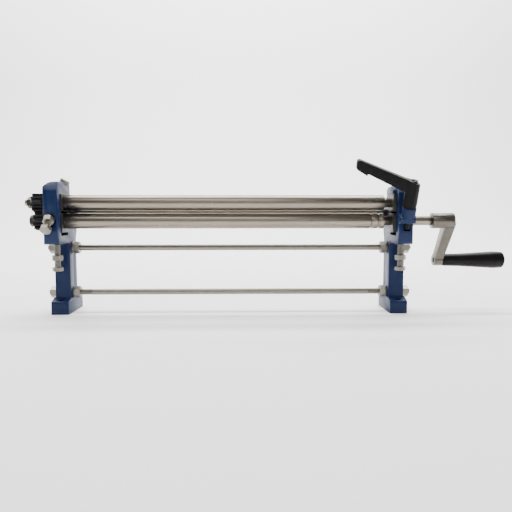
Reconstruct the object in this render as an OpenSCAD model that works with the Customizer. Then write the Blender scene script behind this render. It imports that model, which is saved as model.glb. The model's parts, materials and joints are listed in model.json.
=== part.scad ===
// Bench slip roll machine: two cast side frames, three rolls, a gear pair, adjusting bolts, a
// hinged cap with a clamping lever, and a crank. Lengths are in millimetres, angles in degrees.
// The origin is the centre of the bench bolt pattern, on the bench. +X points to the crank,
// +Y to the rear and +Z up.

/* [Side frames] */
// Room that the side frames leave beside the rolls' bodies, both ends together
roll_room = 24; // [18:0.5:60]
// Thickness of each side frame
frame_t = 30; // [28:0.5:36]
// Length of each foot, front to rear
foot_l = 94; // [90:1:140]
// Width of each foot
foot_w = 34; // [32:1:60]
// Height of each foot at its front edge
foot_h = 25; // [12:1:30]
// Depth of each leg, front to rear
leg_l = 43; // [38:1:60]
// Distance of the leg's front face ahead of the middle of the foot
leg_ahead = 27; // [20:1:30]
// Height of the underside of each head
head_z = 140; // [130:1:145]
// Height of the top of the left head
head_top_z = 258; // [252:1:280]
// Distance of each head's front face ahead of the pinch plane
head_ahead = 40; // [36:1:50]
// Thickness of the wall that closes each bearing window on the outside
outer_wall = 6; // [4:0.5:10]
// Rounding of the castings' upright and top edges
cast_r = 5; // [2:0.5:8]

/* [Rolls] */
// Diameter of each roll
roll_d = 30; // [24:0.5:31]
// Length of each roll's body
roll_l = 610; // [350:1:1150]
// Diameter of the journals
journal_d = 18; // [14:0.5:20]
// Distance of the pinch plane ahead of the middle of the foot
pinch_ahead = 54; // [50:1:60]
// Height of the lower roll's axis
low_z = 184; // [180:1:188]
// Gap between the top roll and the lower roll
roll_gap = 4.5; // [3.5:0.5:7]
// Distance of the rear roll's axis behind the pinch plane
rear_behind = 47; // [45:1:52]
// Height of the rear roll's axis above the lower roll's axis
rear_rise = 13; // [8:1:16]
// Lean of the rear roll's slots, from upright towards the front
rear_lean = 25; // [15:1:30]
// Clearance between a roll's left shoulder and the bearing blocks
roll_end_gap = 0.5; // [0.3:0.1:1.5]
// Width of the wider wire groove
groove_w = 4; // [2:0.5:6]
// Width of the narrower wire groove
groove_narrow_w = 3; // [1:0.5:5]
// Depth of the wire grooves
groove_depth = 2; // [0.5:0.25:3]

/* [Bearings] */
// Front-to-rear width of the front bearing blocks
block_w = 40; // [36:0.5:44]
// Half height of the top bearing blocks
top_block_half = 16.5; // [15.5:0.25:17]
// Height of the lower blocks above the lower roll's axis
low_block_up = 14; // [13:0.5:14.5]
// Height of the lower blocks below the lower roll's axis
low_block_down = 22; // [18:0.5:23]
// Width of the square rear blocks
rear_block_w = 26; // [24:0.5:28]
// Distance that the right blocks stand proud of the right frame
block_proud = 6; // [2:0.5:12]
// Wall of the bearing bushes
bush_wall = 3; // [2:0.25:3.5]
// Radius of the ball on the top roll's left bush
ball_r = 13.5; // [13:0.25:14.5]
// Radial clearance of everything that runs or slides
run_fit = 0.06; // [0.02:0.01:0.1]

/* [Gears] */
// Number of teeth on each gear
gear_teeth = 11; // [10:1:12]
// Radius of the gears over the teeth
gear_tip_r = 18.3; // [17.5:0.1:18.6]
// Radius of the gears at the root of the teeth
gear_root_r = 11.8; // [11.5:0.1:12.5]
// Radius of the circle that the tooth flanks unwind from
gear_base_r = 14.3; // [14:0.1:14.6]
// Radius at which the tooth's thickness is given
gear_ref_r = 15.2; // [15:0.1:15.5]
// Thickness of a tooth at that radius
tooth_t = 3.5; // [3:0.1:3.7]
// Face width of each gear
gear_w = 20; // [10:0.5:30]
// Diameter of the shaft end inside the gears
gear_bore_d = 16; // [12:0.5:17]
// Distance of the top gear's outer face from the left frame's outer face
top_gear_out = 27.5; // [26:0.5:50]
// Distance of the lower gear's outer face from the left frame's outer face
low_gear_out = 24; // [22:0.5:45]

/* [Screws] */
// Diameter of the tie rods
tie_d = 12; // [8:0.5:16]
// Height of the upper tie rod
tie_high_z = 129; // [110:1:130]
// Height of the lower tie rod
tie_low_z = 39; // [38:1:60]
// Width across the flats of the tie rod nuts
tie_nut_af = 21; // [16:0.5:24]
// Diameter of the adjusting and locking bolts
bolt_d = 12; // [8:0.5:14]
// Width across the flats of their heads and nuts
bolt_af = 19; // [15:0.5:24]
// Diameter of the rear adjusting bolts
rear_bolt_d = 10; // [6:0.5:12]
// Width across the flats of their heads and nuts
rear_bolt_af = 17; // [12:0.5:19]
// Diameter of the bench bolt holes
bench_hole_d = 11; // [6:0.5:14]
// Distance of the bench bolt holes from the ends of the feet
bench_edge = 9; // [8:0.5:16]

/* [Cap and lever] */
// Distance of the cap's hinge pin behind the pinch plane
hinge_behind = 36; // [34:0.5:40]
// Height of the cap's hinge pin
hinge_z = 240; // [238:0.5:244]
// Diameter of the hinge pin
hinge_d = 8; // [6:0.5:10]
// Thickness of the cap above the top block
cap_t = 17; // [12:0.5:22]
// Forward lean of the clamping screw
screw_lean = 22; // [10:1:30]
// Distance of the screw's seat ahead of the pinch plane
seat_ahead = 45; // [43:0.5:50]
// Height of the screw's seat on the cap above the underside of the head
seat_rise = 54; // [50:0.5:60]
// Reach of the lever, from the screw's axis to its tip
lever_reach = 105.5; // [80:0.5:140]
// Height of the lever's hub above the seat, at its axis
lever_hub_h = 67.5; // [64:0.5:80]
// Radius of the lever's hub at its top
lever_hub_r = 13.5; // [13:0.5:16]
// Rise of the lever's arm, from level
lever_rise = 22; // [5:1:30]

/* [Crank] */
// Distance from the crank shaft's axis to the grip's axis
crank_throw = 96; // [70:1:120]
// Turn of the crank arm at rest, from hanging straight down to the rear
crank_turn = 31.8; // [0:1:60]
// Length of the crank's hub
hub_l = 42; // [30:1:60]
// Radius of the crank's hub
hub_r = 15; // [13:0.5:20]
// Distance of the crank's hub from the right frame's outer face
hub_out = 44; // [20:1:80]
// Width of the crank arm at the hub
arm_w_top = 20.5; // [18:0.5:28]
// Width of the crank arm at the grip
arm_w_low = 16.5; // [14:0.5:20]
// Length of the grip
grip_l = 126; // [80:1:160]
// Radius of the grip at the arm
grip_r_in = 12.5; // [10:0.25:14]
// Largest radius of the grip
grip_r_out = 17.3; // [14:0.25:20]
// Diameter of the spindle that carries the grip
spindle_d = 10; // [8:0.5:12]

/* [Hidden] */
$fn = 72;
// Extra length by which a cut runs past a face
over = 1;
// Clearance between faces that lie against each other
face_fit = 0.3;
// Number of steps in a rounded corner, and along a tooth's flank
corner_steps = 6;
flank_steps = 5;

// Side frames
frame_gap = roll_l + roll_room;
in_x = frame_gap / 2;
out_x = in_x + frame_t;
mid_x = in_x + frame_t / 2;
pocket_t = frame_t - outer_wall;
leg_front = -leg_ahead;
leg_rear = leg_front + leg_l;
foot_slope = 6;
foot_in = 1;
bench_pitch = foot_l - 2 * bench_edge;
foot_x = mid_x + (foot_w - frame_t) / 2 - foot_in;
pinch_y = -pinch_ahead;
head_front = pinch_y - head_ahead;
head_undercut = 7;
head_lip_h = 25;
chamfer_l = 15;
chamfer_h = 17;
lobe_behind = 38;
lobe_h = 24;
lobe_rear = pinch_y + lobe_behind;
lobe_rear_z = head_top_z - lobe_h;
inner_r = 9;
head_round = 14;
head_top_r = 20;
seat_z = head_z + seat_rise;

// Front bearing windows, their blocks and the rolls' axes
top_z = low_z + roll_d + roll_gap;
window_front = pinch_y - block_w / 2 - run_fit;
window_rear = pinch_y + block_w / 2 + run_fit;
window_top = top_z + top_block_half + run_fit;
low_travel_down = 1;
low_travel_up = 3;
window_spare = 5;
window_floor = low_z - low_block_down - low_travel_down - window_spare;
bush_r = journal_d / 2 + bush_wall;
journal_gap = 1.5;
left_proud = 2.5;
left_block_in = -in_x + left_proud;
right_block_in = in_x - block_proud;
ball_x = -(in_x + pocket_t / 2);
ball_bush_half = 9;
tilt_fit = 0.8;

// Rear roll and its slots, in a frame that leans with them
rear_y = pinch_y + rear_behind;
rear_z = low_z + rear_rise;
rear_travel_down = 8;
rear_travel_up = 9;
slot_spare = 0.5;
rear_slot_up = rear_block_w / 2 + rear_travel_up + slot_spare;
rear_slot_down = rear_block_w / 2 + rear_travel_down + slot_spare;
rear_boss_r = 11;
rear_boss_end = 56;
rear_relief_l = 46;
rear_bolt_l = 74;
rear_nut_drop = 12;
bulge_out = 11;
bulge_up = 3;
bulge_down = 25;
shelf_behind = 5;
bulge_y = leg_rear + bulge_out;
bulge_top_z = rear_z + bulge_up;
bulge_low_z = rear_z - bulge_down;
shelf_rear = rear_y + shelf_behind;

// Rolls
roll_left = left_block_in + roll_end_gap;
roll_right = roll_left + roll_l;
groove_from_end = 10;
groove_space = 15;
block_x = in_x + pocket_t - run_fit;
journal_short = 1;
shaft_short = 2;

// Right frame: the wall ahead of the window, cut back for the cap, and the hinge ears
skirt_drop = 14.5;
front_wall_t = 5;
wall_drop = 0.5;
ledge_z = seat_z - skirt_drop;
front_wall = window_front - front_wall_t;
wall_top_z = top_z + top_block_half - wall_drop;
hinge_y = pinch_y + hinge_behind;
ear_r = 9;
ear_t = 6.5;
ear_side_gap = 0.5;
pin_head_r = 6.5;
pin_head_t = 3.5;
pin_end = 4;
seat_side = 0.5;
seat_depth = 14;
seat_wall = 5.5;

// Cap
cap_z = top_z + top_block_half + face_fit;
cap_top = cap_z + cap_t;
seat_y = pinch_y - seat_ahead;
spot_behind = 12.5;
spot_ahead = 11;
nose_l = 3;
cap_ear_gap = 1.5;
lip_ahead = 14;
lip_top_ahead = 6;
lip_drop = 3;
lip_front_drop = 10;
skirt_front = seat_y + spot_behind;
cap_rear = hinge_y - ear_r - cap_ear_gap;
cap_in_x = in_x - block_proud;

// Clamping screw and lever, in a frame that leans with the screw
collar_r = 12;
collar_h = 22;
boss_up = 17;
boss_sink = 4;
seat_boss_r = 13;
core_r = 8;
core_h = 46;
stud_d = 12;
stud_l = 26;
hub_taper = 1;
button_r = 8.5;
button_h = 8.5;
button_proud = 2;
button_shank_r = 3;
button_shank_l = 26;
button_socket_r = 3.5;
button_socket_h = 3;
lever_lift = 4;
lift_spare = 1;
button_z = lever_hub_h + button_proud - button_h;
lever_floor = button_z - lever_lift - lift_spare;
arm_root_h = 23.5;
arm_tip_h = 18.8;
arm_root_x = 19;
arm_root_w = 17;
arm_tip_w = 13;
pad_l = 20;
pad_drop = 4;
pad_lean = 1;
pad_round = 1;

// Screws
washer_t = 2.5;
tie_spot_share = 0.62;
tie_y = leg_front + leg_l / 2;
tie_nut_h = 12;
tie_end = 4;
tie_spot_l = 20;
tie_half = out_x + washer_t + tie_nut_h + tie_end;
bolt_head_h = 8;
bolt_nut_h = 10.5;
bolt_nut_drop = 22;
bolt_head_drop = 45;
lock_drop = 5.5;
lock_z = seat_z - lock_drop;
lock_head_out = 22;
lock_nut_in = 2;
lock_spot_r = 13;
lock_point = (window_front - head_front) / cos(45) - face_fit;
plug_d = 6;
plug_shank_l = 8;
plug_head_h = 7.5;
plug_af = 17;
plug_spot_r = 10.5;
plug_spot_h = 12;
plug_tilt = 30;
plug_in = 6;
plug_ahead = 16;
plug_sink = 2.2;

// Gears
key_w = 5;
key_h = 5;
// Share of a tooth's width at the base circle that is left at its root
root_share = 0.75;
gear_nut_af = 19;
gear_nut_h = 9;
top_shaft_end = 5;
low_shaft_end = 0;
boss_r = 13;
boss_t = 4.5;

// Crank
hub_x = out_x + hub_out;
arm_back = 6.2;
arm_lean = 4.8;
arm_x = hub_x + hub_l - arm_back;
arm_low_x = arm_x - arm_lean;
arm_boss_r = 11.5;
spindle_head_r = 6;
spindle_head_t = 1.2;
spindle_cap_r = 7.5;
spindle_cap_t = 4;
grip_gap = 2;
grip_x = arm_low_x + arm_w_low / 2 + grip_gap;
grip_end = grip_x + grip_l;
grip_swell = 0.5;
grip_belly_l = 22;
grip_end_l = 4;
grip_end_in = 1;
grip_face_in = 8;
grip_lip_l = 3;
grip_lip_in = 1.5;
recess_l = 14;
recess_r = 8;
set_screw_d = 8;
set_screw_l = 6;
set_socket_h = 3;
set_socket_r = 2;
dimple = 1.5;

// Unit vector along v
function unit(v) = v / norm(v);
// Signed turn from one angle to another, the short way round
function turn(a, b) = let(d = b - a) d > 180 ? d - 360 : d < -180 ? d + 360 : d;
// Points of the arc that rounds corner q, between neighbours p and s, with radius r
function arc_at(p, q, s, r) =
    let(u = unit(p - q), w = unit(s - q), half = acos(u * w) / 2,
        d = r / tan(half), m = q + unit(u + w) * r / sin(half),
        a = q + u * d - m, b = q + w * d - m,
        start = atan2(a.y, a.x), sweep = turn(start, atan2(b.y, b.x)))
    [for (i = [0:corner_steps])
        let(t = start + sweep * i / corner_steps) m + r * [cos(t), sin(t)]];
// An outline whose rows are [x, y, corner radius]
function rounded(rows) =
    let(n = len(rows))
    [for (i = [0:n - 1])
        let(p = rows[(i + n - 1) % n], q = rows[i], s = rows[(i + 1) % n])
        each q.z > 0 ? arc_at([p.x, p.y], [q.x, q.y], [s.x, s.y], q.z) : [[q.x, q.y]]];

// An outline in Y and Z, extruded along X from x0 to x1
module along_x(x0, x1) {
    translate([x0, 0, 0]) rotate([90, 0, 90]) linear_extrude(x1 - x0) children();
}
// An outline in X and Z, extruded along Y to a width of w about Y = 0
module along_y(w) {
    translate([0, w / 2, 0]) rotate([90, 0, 0]) linear_extrude(w) children();
}
// A cylinder along X from x0 to x1 at [y, z]
module rod_x(x0, x1, y, z, r) {
    translate([x0, y, z]) rotate([0, 90, 0]) cylinder(r = r, h = x1 - x0);
}
// A box from its lowest to its highest corner
module box(lo, hi) {
    translate(lo) cube(hi - lo);
}
// A hexagon prism standing on its base
module hex(af, h) {
    cylinder(r = af / 2 / cos(30), h = h, $fn = 6);
}
// A plain hexagon nut
module nut(af, h, d) {
    difference() {
        hex(af, h);
        translate([0, 0, -over]) cylinder(d = d + 2 * run_fit, h = h + 2 * over);
    }
}
// A hexagon bolt that points up, with its head below z = 0 and its tip at z = l
module bolt(d, l, af, head_h) {
    cylinder(d = d, h = l);
    translate([0, 0, -head_h]) hex(af, head_h);
}
// The frame of the rear roll's slots on one side, with Z along the slots
module rear_frame(side) {
    translate([side * mid_x, rear_y, rear_z]) rotate([rear_lean, 0, 0]) children();
}
// The frame of the left locking bolt, with Z pointing out of the head, down and forward
module lock_frame() {
    translate([-mid_x, head_front, lock_z]) rotate([135, 0, 0]) children();
}
// The frame of the clamping screw, with Z pointing up along it from its seat
module screw_frame() {
    translate([mid_x, seat_y, seat_z]) rotate([screw_lean, 0, 0]) children();
}

// Outline of a head's and leg's common lower part, up to the front of the head
function lower_rows() = [
    [leg_rear, foot_h / 2, 0],
    [leg_front, foot_h / 2, 0],
    [leg_front, head_z, cast_r],
    [head_front + head_undercut, head_z, inner_r],
    [head_front, head_z + head_lip_h, inner_r]];
// Outline of the bulge around the rear roll's slot
function bulge_rows() = [
    [bulge_y, bulge_top_z, inner_r],
    [bulge_y, bulge_low_z, inner_r],
    [leg_rear, bulge_low_z - head_lip_h, cast_r]];
// Side outline of the left frame
function left_rows() = concat(lower_rows(), [
    [head_front, head_top_z - chamfer_h, cast_r],
    [head_front + chamfer_l, head_top_z, cast_r],
    [lobe_rear, head_top_z, inner_r],
    [lobe_rear, lobe_rear_z, cast_r],
    [shelf_rear, lobe_rear_z - face_fit, inner_r]], bulge_rows());
// Side outline of the right frame, whose window is open at the top
function right_rows() = concat(lower_rows(), [
    [head_front, ledge_z, 0],
    [front_wall, ledge_z, 0],
    [front_wall, wall_top_z, 0],
    [shelf_rear, wall_top_z, inner_r]], bulge_rows());

// Foot of one frame
module foot() {
    half = foot_l / 2;
    difference() {
        along_x(-foot_w / 2, foot_w / 2)
            polygon(rounded([
                [-half, 0, 0], [half, 0, 0], [half, foot_h, cast_r],
                [leg_rear, foot_h + foot_slope, 0], [leg_front, foot_h + foot_slope, 0],
                [-half, foot_h, cast_r]]));
        for (y = [-bench_pitch / 2, bench_pitch / 2])
            translate([0, y, -over]) cylinder(d = bench_hole_d, h = foot_h + foot_slope + 2 * over);
    }
}
// Solid that rounds the upright edges of a leg and head, seen from the front
module front_mask(side, top) {
    lo = side < 0 ? -out_x : in_x;
    translate([0, bulge_y + over, 0]) rotate([90, 0, 0])
        linear_extrude(bulge_y - head_front + 2 * over)
        polygon(rounded([
            [lo, 0, 0], [lo + frame_t, 0, 0],
            [lo + frame_t, top, side > 0 ? 2 * cast_r : cast_r / 2],
            [lo, top, side > 0 ? cast_r / 2 : head_top_r]]));
}
// Solid that rounds the front and rear edges of a leg and head, seen from above
module top_mask(side, top) {
    lo = side < 0 ? -out_x : in_x;
    linear_extrude(top + over)
        polygon(rounded([
            [lo, head_front, side > 0 ? cast_r / 2 : head_round],
            [lo + frame_t, head_front, side > 0 ? head_round : cast_r / 2],
            [lo + frame_t, bulge_y, cast_r], [lo, bulge_y, cast_r]]));
}
// Cuts that both frames share, on one side
module frame_cuts(side) {
    // Lower block window
    inner = side * in_x;
    floor_x = side * (in_x + pocket_t);
    x0 = min(inner - side * over, floor_x);
    x1 = max(inner - side * over, floor_x);
    box([x0, window_front, window_floor], [x1, window_rear, window_top + (side > 0 ? foot_l : 0)]);
    // Upright slot for the lower journal in the outer wall
    r = journal_d / 2 + journal_gap;
    wx0 = side > 0 ? in_x + pocket_t - over : -out_x - over;
    wx1 = wx0 + outer_wall + 2 * over;
    for (z = [low_z - low_travel_down, low_z + low_travel_up]) rod_x(wx0, wx1, pinch_y, z, r);
    box([wx0, pinch_y - r, low_z - low_travel_down], [wx1, pinch_y + r, low_z + low_travel_up]);
    // Hole for the adjusting bolt
    translate([side * mid_x, pinch_y, head_z - over])
        cylinder(d = bolt_d + 2 * run_fit, h = window_floor - head_z + 2 * over);
    // Rear slot, and the hole for its adjusting bolt
    half = rear_block_w / 2 + run_fit;
    rear_frame(side) {
        box([side > 0 ? -frame_t / 2 - over : -frame_t / 2 + outer_wall, -half, -rear_slot_down],
            [side > 0 ? frame_t / 2 - outer_wall : frame_t / 2 + over, half, rear_slot_up]);
        translate([0, 0, -rear_boss_end - over])
            cylinder(d = rear_bolt_d + 2 * run_fit, h = rear_boss_end);
        // Relief in the back of the leg for the bolt's nut and head
        translate([0, 0, -rear_boss_end - rear_relief_l]) cylinder(r = rear_boss_r, h = rear_relief_l);
    }
    // Tie rod holes and their spot faces
    for (z = [tie_low_z, tie_high_z]) {
        rod_x(side > 0 ? in_x - over : -out_x - over, side > 0 ? out_x + over : -in_x + over,
            tie_y, z, tie_d / 2 + run_fit);
        for (x = [in_x - tie_spot_l, out_x])
            rod_x(side * (x + tie_spot_l / 2) - tie_spot_l / 2,
                side * (x + tie_spot_l / 2) + tie_spot_l / 2, tie_y, z, tie_nut_af * tie_spot_share);
    }
}
// Boss around the rear adjusting bolt's hole
module rear_boss(side) {
    rear_frame(side) translate([0, 0, -rear_boss_end])
        cylinder(r = rear_boss_r, h = rear_boss_end - rear_slot_down);
}

module left_frame() {
    color("royalblue") difference() {
        union() {
            intersection() {
                along_x(-out_x, -in_x) polygon(rounded(left_rows()));
                front_mask(-1, head_top_z);
                top_mask(-1, head_top_z);
            }
            translate([-foot_x, 0, 0]) foot();
            rod_x(-out_x - boss_t, -out_x + over, pinch_y, top_z, boss_r);
            rear_boss(-1);
        }
        frame_cuts(-1);
        rod_x(-out_x - boss_t - over, -in_x, pinch_y, top_z, journal_d / 2 + journal_gap);
        lock_frame() {
            translate([0, 0, -lock_nut_in]) cylinder(r = lock_spot_r, h = foot_l / 2);
            translate([0, 0, -foot_l / 2]) cylinder(d = bolt_d + 2 * run_fit, h = foot_l / 2);
        }
        plug_frame() {
            translate([0, 0, -plug_shank_l]) cylinder(d = plug_d, h = plug_shank_l + over);
            cylinder(r = plug_spot_r, h = plug_spot_h);
        }
    }
}
module right_frame() {
    web_low = wall_top_z - ear_r;
    color("royalblue") difference() {
        union() {
            intersection() {
                along_x(in_x, out_x) polygon(rounded(right_rows()));
                front_mask(1, wall_top_z + ear_r);
                top_mask(1, wall_top_z);
            }
            translate([foot_x, 0, 0]) foot();
            for (x = [in_x, out_x - ear_t]) {
                rod_x(x, x + ear_t, hinge_y, hinge_z, ear_r);
                box([x, hinge_y - ear_r, web_low], [x + ear_t, hinge_y + ear_r, hinge_z]);
            }
            rear_boss(1);
        }
        frame_cuts(1);
        rod_x(in_x - over, out_x + over, hinge_y, hinge_z, hinge_d / 2);
        // Open-fronted seat for the clamping screw's end
        box([mid_x - stud_d / 2 - seat_side, head_front - over, ledge_z - seat_depth],
            [mid_x + stud_d / 2 + seat_side, window_front - seat_wall, ledge_z + over]);
        // Room for the cap's hinge barrel between the ears
        rod_x(in_x + ear_t, out_x - ear_t, hinge_y, hinge_z, ear_r + ear_side_gap);
    }
}

// Body of a roll with its journals' common part, lying along X at [y, z]
module roll_body(y, z, grooved) {
    difference() {
        rod_x(roll_left, roll_right, y, z, roll_d / 2);
        if (grooved)
            for (g = [[groove_from_end, groove_w], [groove_from_end + groove_space, groove_narrow_w]])
                translate([roll_right - g.x, y, z]) rotate([0, 90, 0]) rotate_extrude()
                    translate([roll_d / 2, 0]) scale([groove_depth, g.y / 2]) circle(r = 1);
    }
}
// A journal step of a roll
module journal(x0, x1, y, z, d = journal_d) {
    rod_x(x0, x1, y, z, d / 2);
}
// Left shaft end that carries a gear whose outer face is at distance reach from the frame
module gear_shaft(z, reach, tail) {
    face = -out_x - reach;
    nut_out = face - gear_nut_h;
    difference() {
        union() {
            journal(face + gear_w, roll_left + over, pinch_y, z);
            journal(face, face + gear_w, pinch_y, z, gear_bore_d);
            journal(nut_out - tail, face, pinch_y, z, bolt_d);
        }
        box([face - over, pinch_y - key_w / 2, z + gear_bore_d / 2 - key_h / 2],
            [face + gear_w, pinch_y + key_w / 2, z + gear_bore_d]);
    }
}
module top_roll() {
    color("silver") union() {
        roll_body(pinch_y, top_z, false);
        gear_shaft(top_z, top_gear_out, top_shaft_end);
        journal(roll_right - over, block_x - journal_short, pinch_y, top_z);
    }
}
module lower_roll() {
    color("silver") difference() {
        union() {
            roll_body(pinch_y, low_z, true);
            gear_shaft(low_z, low_gear_out, low_shaft_end);
            journal(roll_right - over, hub_x + hub_l - shaft_short, pinch_y, low_z);
        }
        // Dimple under the crank's set screw
        translate([hub_x + hub_l / 3, pinch_y, low_z]) rotate([180 + crank_turn, 0, 0])
            translate([0, 0, journal_d / 2 - dimple]) cylinder(d = set_screw_d, h = journal_d);
    }
}
module rear_roll() {
    color("silver") union() {
        roll_body(rear_y, rear_z, true);
        journal(-block_x + journal_short, roll_left + over, rear_y, rear_z);
        journal(roll_right - over, block_x - journal_short, rear_y, rear_z);
    }
}

// A front block between x0 and x1, from z0 to z1, with a bore of radius r at height z
module block(x0, x1, z0, z1, z, r) {
    difference() {
        box([x0, pinch_y - block_w / 2, z0], [x1, pinch_y + block_w / 2, z1]);
        rod_x(x0 - over, x1 + over, pinch_y, z, r);
    }
}
// A bearing bush between x0 and x1
module bush(x0, x1, y, z) {
    color("#3a3a3c") difference() {
        rod_x(x0, x1, y, z, bush_r);
        rod_x(x0 - over, x1 + over, y, z, journal_d / 2 + run_fit);
    }
}

module top_left_housing() {
    color("dimgray") difference() {
        block(-block_x, left_block_in, top_z - top_block_half, top_z + top_block_half, top_z,
            journal_d / 2 + journal_gap);
        translate([ball_x, pinch_y, top_z]) sphere(r = ball_r + run_fit);
    }
}
module top_left_ball_bush() {
    half = ball_bush_half;
    color("#3a3a3c") difference() {
        intersection() {
            translate([ball_x, pinch_y, top_z]) sphere(r = ball_r);
            rod_x(ball_x - half, ball_x + half, pinch_y, top_z, ball_r + over);
        }
        rod_x(ball_x - ball_r, ball_x + ball_r, pinch_y, top_z, journal_d / 2 + run_fit);
    }
}
module top_right_block() {
    color("dimgray")
        block(right_block_in, block_x - tilt_fit, top_z - top_block_half, top_z + top_block_half, top_z,
            bush_r);
}
module top_right_bush() bush(right_block_in, block_x - tilt_fit, pinch_y, top_z);
module lower_block(x0, x1) {
    color("dimgray") block(x0, x1, low_z - low_block_down, low_z + low_block_up, low_z, bush_r);
}
module lower_left_block() lower_block(-block_x, left_block_in);
module lower_right_block() lower_block(right_block_in, block_x);
module lower_left_bush() bush(-block_x, left_block_in, pinch_y, low_z);
module lower_right_bush() bush(right_block_in, block_x, pinch_y, low_z);

// A rear block on one side, between its two faces along X
module rear_block(side, x0, x1) {
    half = rear_block_w / 2;
    color("dimgray") difference() {
        rear_frame(side)
            box([x0 - side * mid_x, -half, -half], [x1 - side * mid_x, half, half]);
        rod_x(x0 - over, x1 + over, rear_y, rear_z, journal_d / 2 + bush_wall / 2);
    }
}
// A thin bush for the rear roll
module rear_bush(x0, x1) {
    color("#3a3a3c") difference() {
        rod_x(x0, x1, rear_y, rear_z, journal_d / 2 + bush_wall / 2);
        rod_x(x0 - over, x1 + over, rear_y, rear_z, journal_d / 2 + run_fit);
    }
}
module rear_left_block() rear_block(-1, -block_x, left_block_in);
module rear_right_block() rear_block(1, in_x, block_x);
module rear_left_bush() rear_bush(-block_x, left_block_in);
module rear_right_bush() rear_bush(in_x, block_x);

// Involute of an angle, and half the angle of a tooth at radius r
function inv(a) = tan(a) * 180 / PI - a;
function tooth_half(r) =
    tooth_t / 2 / gear_ref_r * 180 / PI + inv(acos(gear_base_r / gear_ref_r))
    - inv(acos(min(1, gear_base_r / r)));
// Outline of a gear with a tooth on the X axis
function gear_points() =
    [for (k = [0:gear_teeth - 1])
        let(mid = 360 * k / gear_teeth, root = tooth_half(gear_base_r) * root_share,
            rs = [for (i = [0:flank_steps])
                gear_base_r + (gear_tip_r - gear_base_r) * i / flank_steps],
            rise = [for (r = rs) [r, -tooth_half(r)]],
            fall = [for (i = [flank_steps:-1:0]) [rs[i], tooth_half(rs[i])]])
        each [for (p = concat([[gear_root_r, -root]], rise, fall, [[gear_root_r, root]]))
            p[0] * [cos(mid + p[1]), sin(mid + p[1])]]];
// A gear on the shaft at height z, turned so that tooth or gap faces its mate
module gear(z, reach, phase) {
    face = -out_x - reach;
    color("#1c1c1e") difference() {
        along_x(face, face + gear_w) translate([pinch_y, z]) rotate(phase) polygon(gear_points());
        rod_x(face - over, face + gear_w + over, pinch_y, z, gear_bore_d / 2);
        box([face - over, pinch_y - key_w / 2, z],
            [face + gear_w + over, pinch_y + key_w / 2, z + gear_bore_d / 2 + key_h / 2]);
    }
}
module gear_spacer(z, from, reach) {
    color("dimgray") difference() {
        rod_x(-out_x - reach + gear_w, -out_x - from, pinch_y, z, journal_d / 2 + bush_wall);
        rod_x(-out_x - reach, -out_x, pinch_y, z, journal_d / 2);
    }
}
module gear_key(z, reach) {
    face = -out_x - reach;
    color("gray") box([face, pinch_y - key_w / 2, z + gear_bore_d / 2 - key_h / 2],
        [face + gear_w, pinch_y + key_w / 2, z + gear_bore_d / 2 + key_h / 2]);
}
module gear_nut(z, reach) {
    color("#2b2a26") translate([-out_x - reach - gear_nut_h, pinch_y, z]) rotate([0, 90, 0])
        nut(gear_nut_af, gear_nut_h, bolt_d);
}
module top_gear() gear(top_z, top_gear_out, -90);
module lower_gear() gear(low_z, low_gear_out, 90 + 180 / gear_teeth);
module top_gear_spacer() gear_spacer(top_z, boss_t + face_fit, top_gear_out);
module lower_gear_spacer() gear_spacer(low_z, face_fit, low_gear_out);
module top_gear_key() gear_key(top_z, top_gear_out);
module lower_gear_key() gear_key(low_z, low_gear_out);
module top_gear_nut() gear_nut(top_z, top_gear_out);
module lower_gear_nut() gear_nut(low_z, low_gear_out);

module tie_rod(z) {
    color("silver") rod_x(-tie_half, tie_half, tie_y, z, tie_d / 2);
}
module upper_tie_rod() tie_rod(tie_high_z);
module lower_tie_rod() tie_rod(tie_low_z);
// Nuts inside and outside each frame
module tie_rod_nuts() {
    color("silver") for (side = [-1, 1], z = [tie_low_z, tie_high_z])
        for (x = [in_x - washer_t - tie_nut_h, out_x + washer_t])
            translate([side * (x + tie_nut_h / 2) - tie_nut_h / 2, tie_y, z]) rotate([0, 90, 0])
                nut(tie_nut_af, tie_nut_h, tie_d);
}
module tie_rod_washers() {
    color("silver") for (side = [-1, 1], z = [tie_low_z, tie_high_z])
        for (x = [in_x - washer_t, out_x])
            difference() {
                rod_x(side * (x + washer_t / 2) - washer_t / 2,
                    side * (x + washer_t / 2) + washer_t / 2, tie_y, z, tie_d);
                rod_x(-tie_half, tie_half, tie_y, z, tie_d / 2 + run_fit);
            }
}

// Adjusting bolt under a lower block, on one side
module adjusting_bolt(side) {
    low = head_z - bolt_head_drop;
    color("silver") translate([side * mid_x, pinch_y, low])
        bolt(bolt_d, low_z - low_block_down - low, bolt_af, bolt_head_h);
}
module adjusting_nut(side) {
    color("silver") translate([side * mid_x, pinch_y, head_z - bolt_nut_drop - bolt_nut_h])
        nut(bolt_af, bolt_nut_h, bolt_d);
}
module left_adjusting_bolt() adjusting_bolt(-1);
module right_adjusting_bolt() adjusting_bolt(1);
module left_adjusting_nut() adjusting_nut(-1);
module right_adjusting_nut() adjusting_nut(1);
// Adjusting bolt under a rear block, on one side
module rear_adjusting_bolt(side) {
    color("silver") rear_frame(side)
        translate([0, 0, -rear_block_w / 2 - rear_bolt_l])
        bolt(rear_bolt_d, rear_bolt_l, rear_bolt_af, bolt_head_h);
}
module rear_adjusting_nut(side) {
    color("silver") rear_frame(side) translate([0, 0, -rear_boss_end - rear_nut_drop - bolt_head_h])
        nut(rear_bolt_af, bolt_head_h, rear_bolt_d);
}
module rear_left_adjusting_bolt() rear_adjusting_bolt(-1);
module rear_right_adjusting_bolt() rear_adjusting_bolt(1);
module rear_left_adjusting_nut() rear_adjusting_nut(-1);
module rear_right_adjusting_nut() rear_adjusting_nut(1);

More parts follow.
